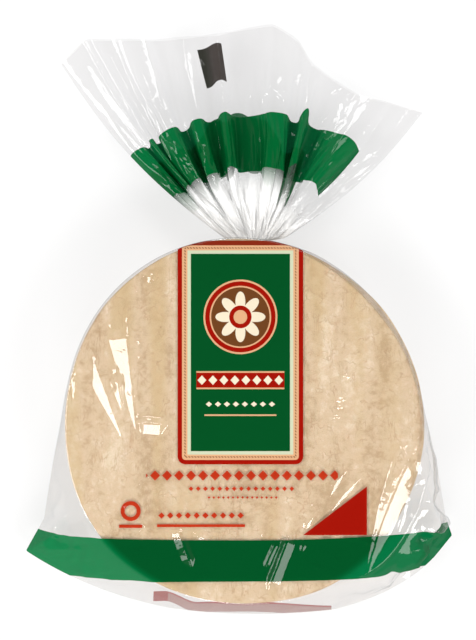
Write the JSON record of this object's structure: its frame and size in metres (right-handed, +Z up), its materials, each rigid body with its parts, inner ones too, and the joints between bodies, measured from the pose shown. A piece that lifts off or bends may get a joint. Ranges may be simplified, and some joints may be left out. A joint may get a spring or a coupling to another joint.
{
  "type": "bagged corn tortilla stack",
  "caption": "Round stack of corn tortillas in a clear printed film bag, lying on its back, with flat empty corners, a gathered tied neck and a pleated flared tail.",
  "frame": {"origin": "centre of the flat resting face under the tortilla stack, with the pack lying on its back", "axes": "+Z up along the stack's axis, through the shown front; +Y towards the gathered neck and the tail; +X to the right as the shown front is read"},
  "size_m": [0.2197, 0.3051, 0.0533],
  "materials": {
    "film_and_tortillas": "clear glossy film over pale cream corn tortillas, printed with fields of green and red",
    "tortilla": "matte baked corn dough, pale cream with soft tan mottling",
    "film": "thin clear glossy film with crisp creases",
    "tie": "satin white"
  },
  "bodies": {
    "root": {"bag": "film_and_tortillas", "neck_tie": "tie"}
  },
  "joints": []
}
